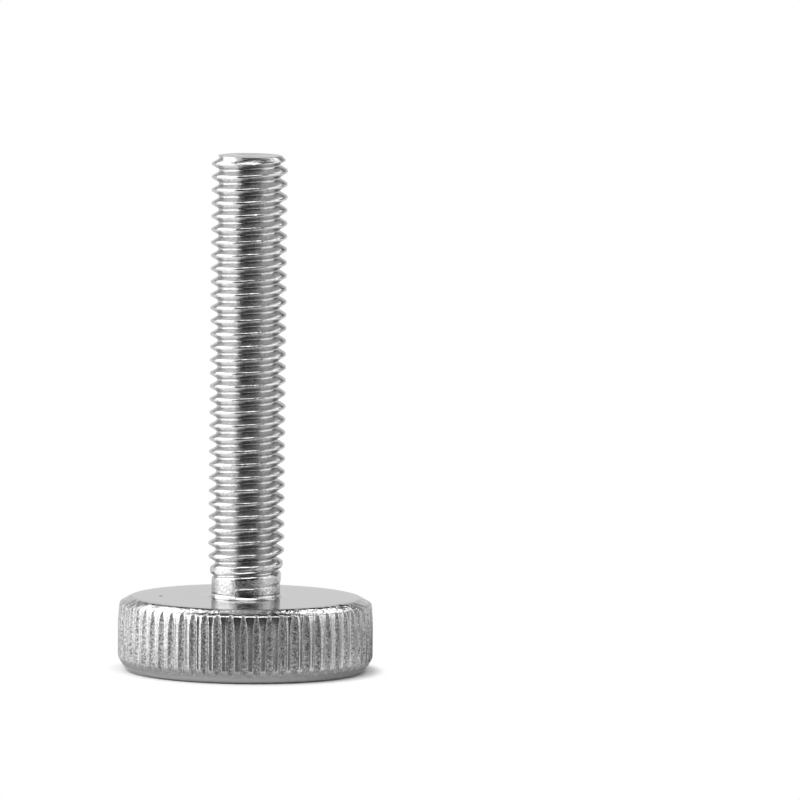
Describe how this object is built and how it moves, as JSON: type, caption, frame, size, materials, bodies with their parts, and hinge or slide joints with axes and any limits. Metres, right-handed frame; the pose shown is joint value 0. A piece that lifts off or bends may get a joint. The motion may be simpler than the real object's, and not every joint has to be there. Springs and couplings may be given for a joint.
{
  "type": "thumb screw",
  "caption": "Knurled thumb screw: a short round head with a straight knurl and chamfered ends, on a long shank with a right-hand metric thread.",
  "frame": {"origin": "centre of the head's outer face, which the screw stands on", "axes": "+Z along the screw's axis, from the head's outer face towards the tip; the thread's groove starts at azimuth 250 degrees from +X"},
  "size_m": [0.0196, 0.0194, 0.0394],
  "materials": {
    "stainless_steel": "bare turned and rolled stainless steel: bright shank and thread, satin turned faces, a duller knurl"
  },
  "bodies": {
    "root": {"thumb_screw": "stainless_steel"}
  },
  "joints": []
}
